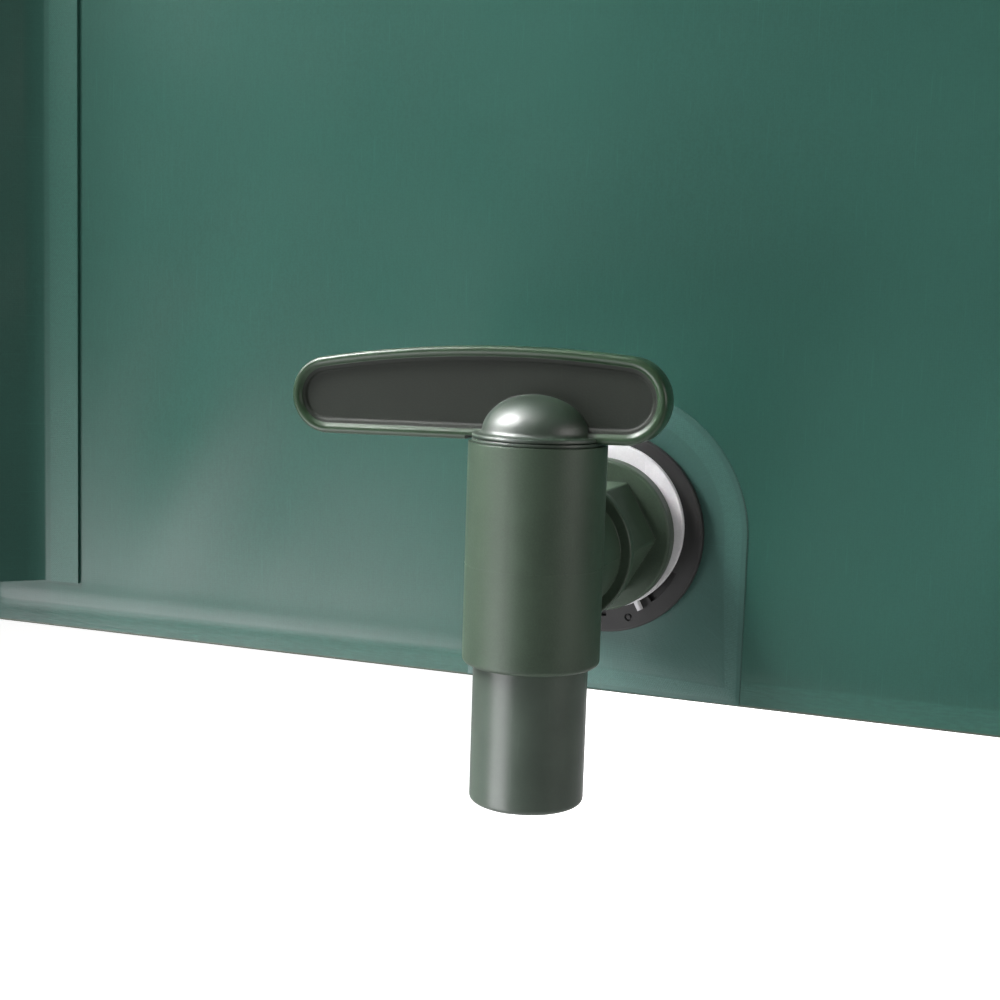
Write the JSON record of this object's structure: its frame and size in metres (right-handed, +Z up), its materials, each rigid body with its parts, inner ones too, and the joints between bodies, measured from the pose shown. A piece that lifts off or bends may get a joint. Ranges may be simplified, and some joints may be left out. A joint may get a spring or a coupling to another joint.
{
  "type": "rain barrel",
  "caption": "Collapsible six-sided fabric rain barrel with corner poles in sleeves, a zipped mesh lid, an overflow spigot and a quarter-turn lever tap low on the front.",
  "frame": {"origin": "centre of the bag's underside, at the bottom edge of its walls", "axes": "+Z up along the bag's upright axis, -Y out through the front panel that carries the tap, +X to the right seen from the front's inside, so a viewer facing the tap has +X on the right"},
  "size_m": [0.8518, 0.7912, 1.0004],
  "materials": {
    "fabric_green": "satin",
    "fabric_patch": "satin",
    "fabric_base": "satin",
    "pole_white": "satin",
    "cap_grey": "matte",
    "mesh_black": "matte",
    "zip_black": "matte",
    "slider_metal": "satin",
    "rubber_black": "matte",
    "nylon_white": "satin",
    "moulded_green": "satin",
    "plug_green": "gloss"
  },
  "bodies": {
    "bag": {"wall": "fabric_green", "base_sheet": "fabric_base", "top_sheet": "fabric_green", "pole_sleeves": "fabric_green", "lid_hinge_strip": "fabric_green", "zip_tape_bag": "zip_black", "zip_stops": "slider_metal", "tap_patch": "fabric_patch", "tap_gasket_outer": "rubber_black", "tap_washer": "nylon_white", "tap_housing": "moulded_green", "tap_gasket_inner": "rubber_black", "tap_back_nut": "moulded_green", "overflow_patch": "fabric_patch", "overflow_gasket_outer": "rubber_black", "overflow_fitting": "moulded_green", "overflow_gasket_inner": "rubber_black", "overflow_back_nut": "moulded_green"},
    "tap_plug": {"tap_plug": "plug_green", "tap_seal_rings": "rubber_black", "tap_lever": "moulded_green"},
    "lid": {"lid_panel": "fabric_green", "lid_mesh": "mesh_black", "mesh_trim": "zip_black", "zip_tape_lid": "zip_black"},
    "zip_slider": {"zip_slider": "slider_metal"},
    "zip_pull_tab": {"zip_pull_tab": "slider_metal"},
    "pole_1": {"pole_1": "pole_white", "pole_caps_1": "cap_grey"},
    "pole_2": {"pole_2": "pole_white", "pole_caps_2": "cap_grey"},
    "pole_3": {"pole_3": "pole_white", "pole_caps_3": "cap_grey"},
    "pole_4": {"pole_4": "pole_white", "pole_caps_4": "cap_grey"},
    "pole_5": {"pole_5": "pole_white", "pole_caps_5": "cap_grey"},
    "pole_6": {"pole_6": "pole_white", "pole_caps_6": "cap_grey"}
  },
  "joints": [
    {"name": "tap_turn", "type": "hinge", "parent": "bag", "child": "tap_plug", "pos_m": [0, -0.40441, 0.0434], "axis": [0, 0, 1], "range_deg": [0, 90]},
    {"name": "lid_open", "type": "hinge", "parent": "bag", "child": "lid", "pos_m": [0, 0.23727, 0.9792], "axis": [-1, 0, 0], "range_deg": [0, 95]},
    {"name": "zip_slide", "type": "hinge", "parent": "lid", "child": "zip_slider", "pos_m": [0, 0, 0.9814], "axis": [0, 0, -1], "range_deg": [0, 260]},
    {"name": "zip_tab_flip", "type": "hinge", "parent": "zip_slider", "child": "zip_pull_tab", "pos_m": [0.22921, 0.19886, 0.98513], "axis": [-0.766, -0.6428, 0], "range_deg": [0, 170]},
    {"name": "pole_1_lift", "type": "slide", "parent": "bag", "child": "pole_1", "axis": [0, 0, 1], "range_m": [0, 0.965]},
    {"name": "pole_2_lift", "type": "slide", "parent": "bag", "child": "pole_2", "axis": [0, 0, 1], "range_m": [0, 0.965]},
    {"name": "pole_3_lift", "type": "slide", "parent": "bag", "child": "pole_3", "axis": [0, 0, 1], "range_m": [0, 0.965]},
    {"name": "pole_4_lift", "type": "slide", "parent": "bag", "child": "pole_4", "axis": [0, 0, 1], "range_m": [0, 0.965]},
    {"name": "pole_5_lift", "type": "slide", "parent": "bag", "child": "pole_5", "axis": [0, 0, 1], "range_m": [0, 0.965]},
    {"name": "pole_6_lift", "type": "slide", "parent": "bag", "child": "pole_6", "axis": [0, 0, 1], "range_m": [0, 0.965]}
  ]
}
